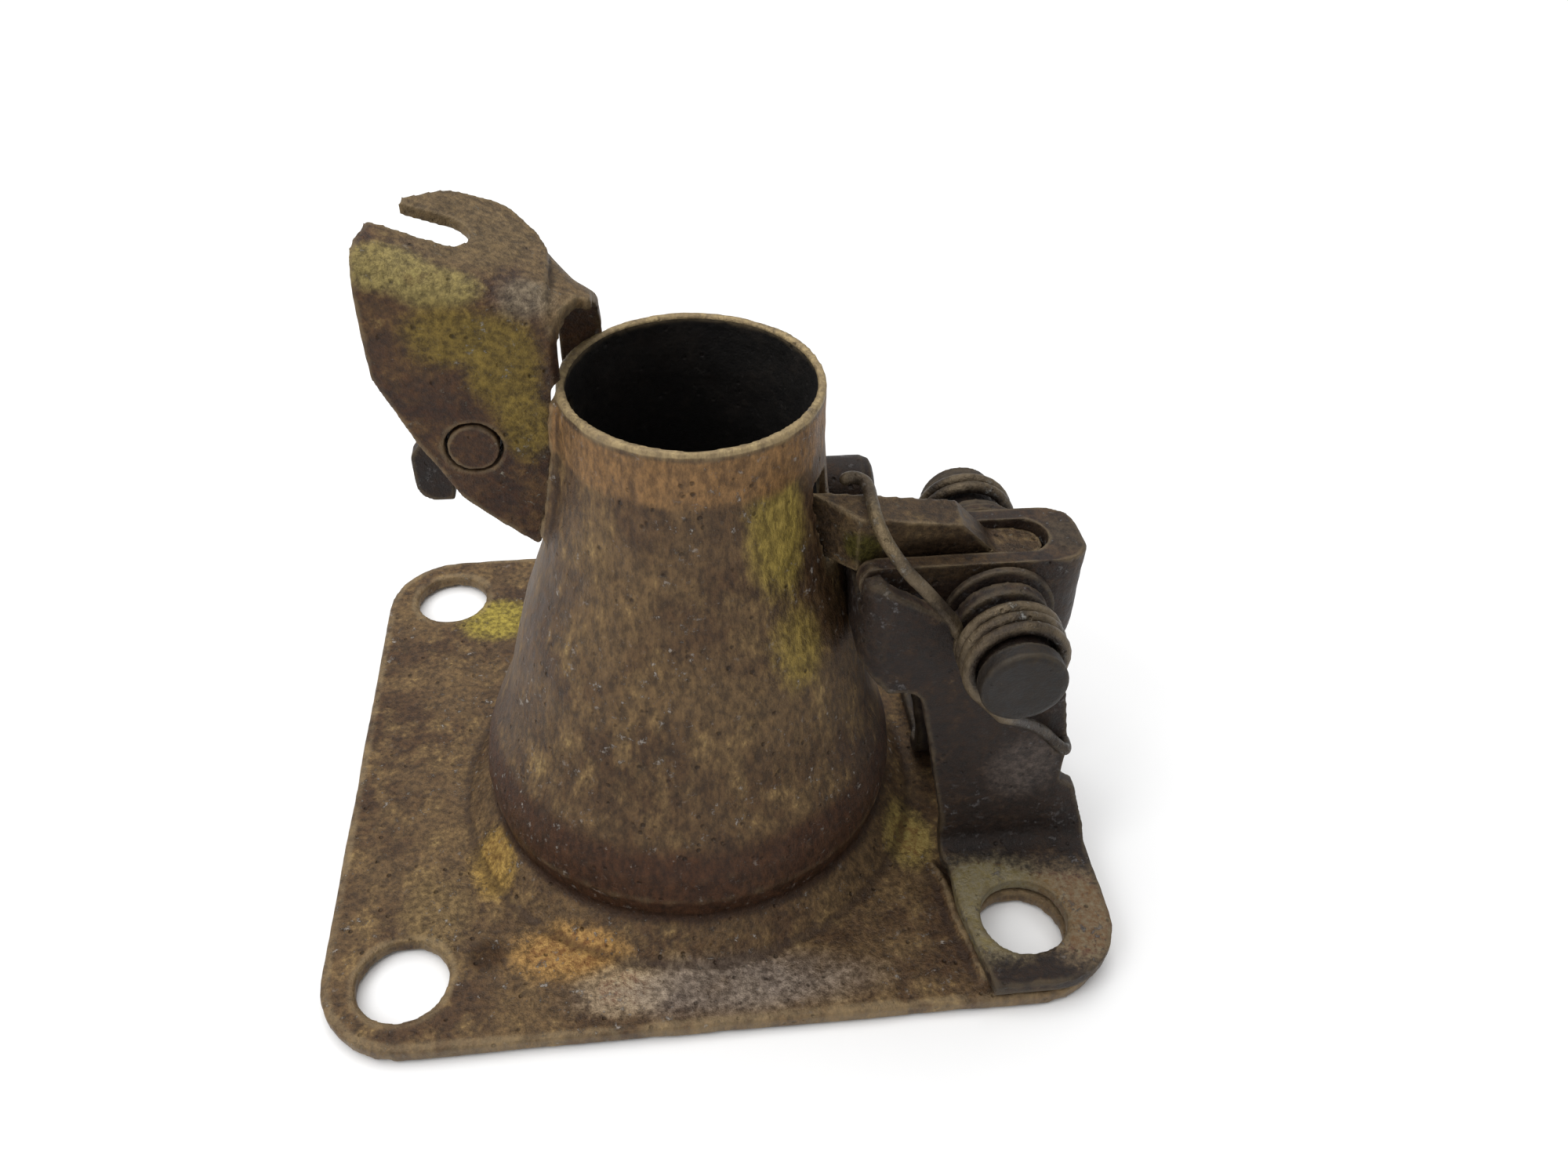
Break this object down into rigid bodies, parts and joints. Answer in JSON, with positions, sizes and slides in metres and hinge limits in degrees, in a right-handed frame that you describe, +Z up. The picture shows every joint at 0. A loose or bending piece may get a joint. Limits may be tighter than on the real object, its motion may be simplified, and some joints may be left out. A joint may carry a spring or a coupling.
{
  "type": "control lever turret",
  "caption": "Conical control-lever turret on a square bolt-down flange, with a spring-loaded latch fork and a slotted cable bracket.",
  "frame": {"origin": "centre of the flange's flat underside, halfway between its edges", "axes": "+X towards the latch fork, +Y away from the fork pin's head, +Z up out of the cone's mouth"},
  "size_m": [0.1086, 0.0994, 0.0919],
  "materials": {
    "passivated_steel": "rusted yellow-zinc plated",
    "brown_steel": "brown oxide",
    "spring_steel": "dark oxide",
    "worn_steel": "worn"
  },
  "bodies": {
    "turret": {"turret_body": "passivated_steel", "cable_bracket": "passivated_steel", "latch_bracket": "brown_steel", "pivot_pin": "brown_steel", "front_washer": "brown_steel", "rear_washer": "brown_steel", "retainer_washer": "brown_steel", "pin_retainer": "spring_steel", "front_spring_bush": "brown_steel", "rear_spring_bush": "brown_steel", "front_spring": "spring_steel", "rear_spring": "spring_steel", "rear_stop_stub": "spring_steel", "cable_lever_washer": "brown_steel", "cable_lever_clip": "spring_steel", "cable_lever_pin": "brown_steel"},
    "fork": {"release_fork": "brown_steel", "latch_bar": "worn_steel", "fork_bush": "brown_steel"},
    "cable_lever": {"cable_lever": "spring_steel"}
  },
  "joints": [
    {"name": "fork_hinge", "type": "hinge", "parent": "turret", "child": "fork", "pos_m": [0.0363, -0.01575, 0.0474], "axis": [0, 1, 0], "range_deg": [0, 20], "stiffness_Nm_per_rad": 0.4, "springref_deg": -28.65, "deforming": ["front_spring"]},
    {"name": "cable_lever_hinge", "type": "hinge", "parent": "turret", "child": "cable_lever", "pos_m": [-0.0276, -0.0044, 0.0665], "axis": [0, 1, 0], "range_deg": [-12, 12]}
  ]
}
